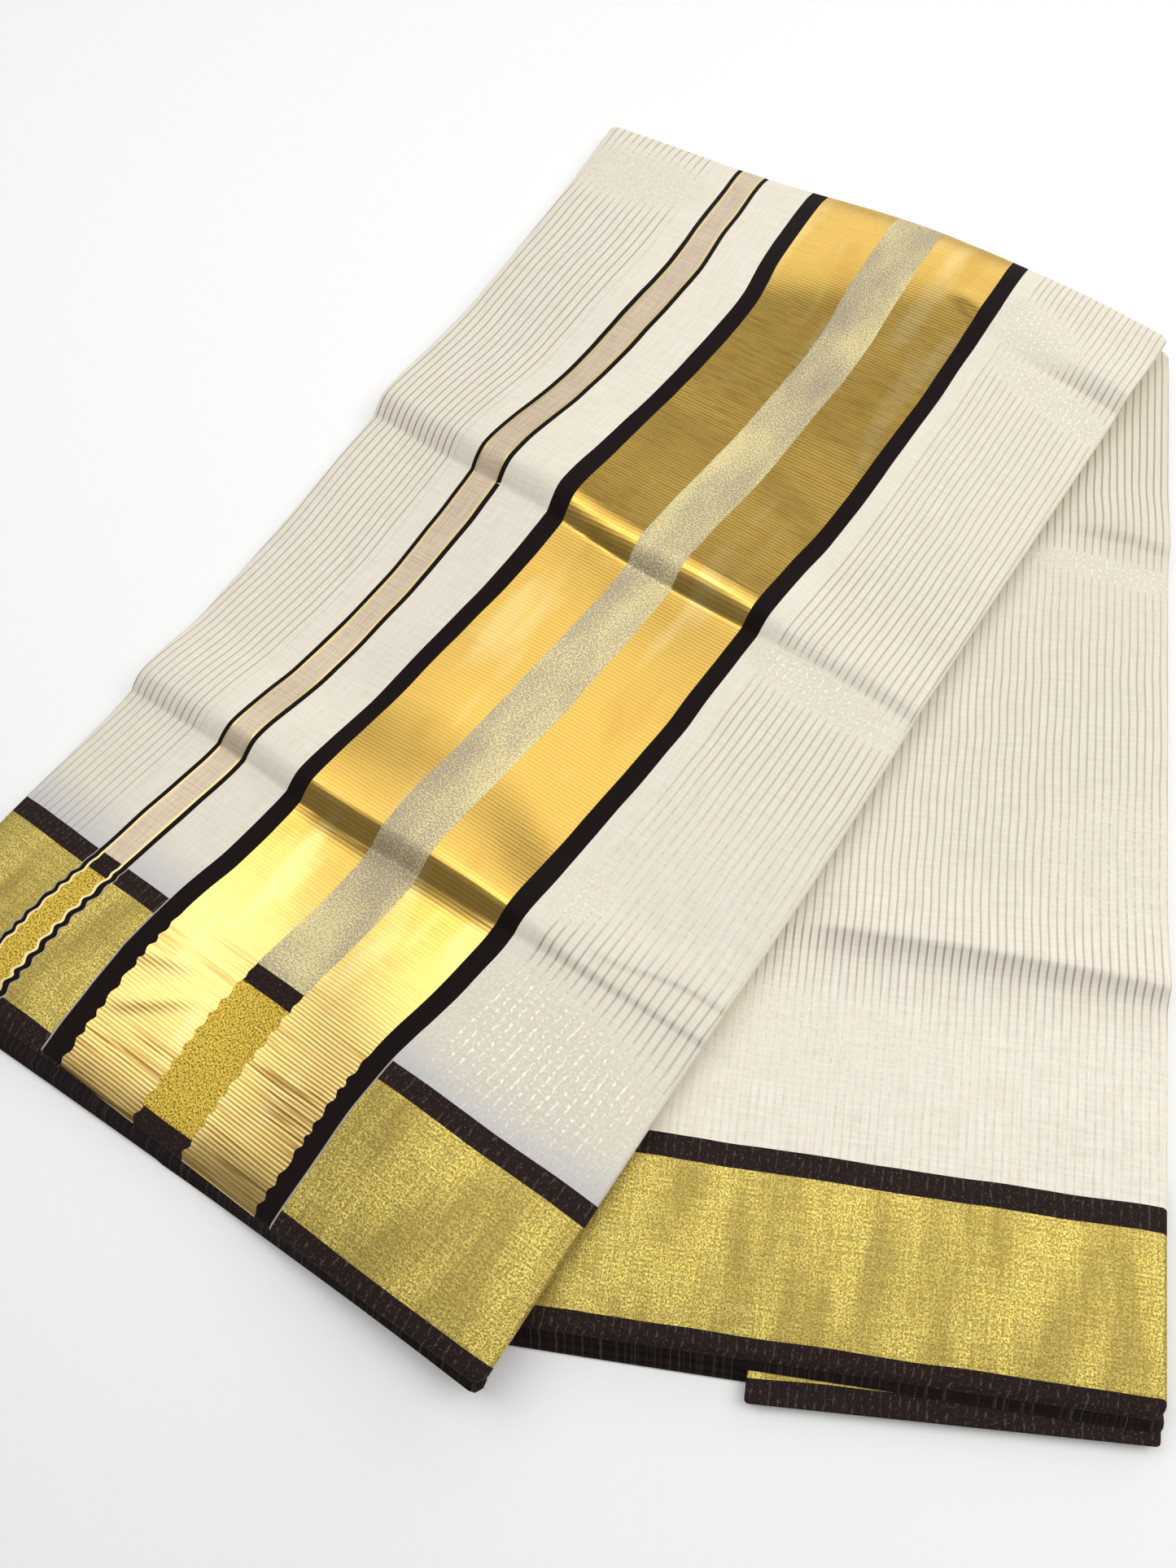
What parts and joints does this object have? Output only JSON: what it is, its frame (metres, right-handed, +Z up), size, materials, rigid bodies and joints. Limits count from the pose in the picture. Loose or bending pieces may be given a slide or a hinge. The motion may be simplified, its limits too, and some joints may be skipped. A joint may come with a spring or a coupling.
{
  "type": "folded saree",
  "caption": "Cream cotton saree with gold and black woven bands, folded in long panels and fanned out flat in two overlapping stacks.",
  "frame": {"origin": "on the table under the middle of the laid out cloth", "axes": "+Z up from the table, +Y along the top stack from its selvedges to its top fold, +X towards the stack that fans out on the right"},
  "size_m": [0.559, 0.6177, 0.033],
  "materials": {
    "pallu_cloth": "fine cream cotton with thin metallic thread lines, a wide gold band between dark stripes and a gold border",
    "pallu_edges": "folded edges and dark selvedges of the same cotton",
    "body_cloth": "fine cream cotton with thin metallic thread lines and a gold border",
    "body_edges": "folded edges and dark selvedges of the same cotton",
    "tail_cloth": "the same cotton with its gold border and dark selvedge"
  },
  "bodies": {
    "root": {"pallu_panel": "pallu_cloth", "pallu_layers": "pallu_edges", "body_panel": "body_cloth", "body_layers": "body_edges", "tail_panel": "tail_cloth", "base_layers": "body_edges"}
  },
  "joints": []
}
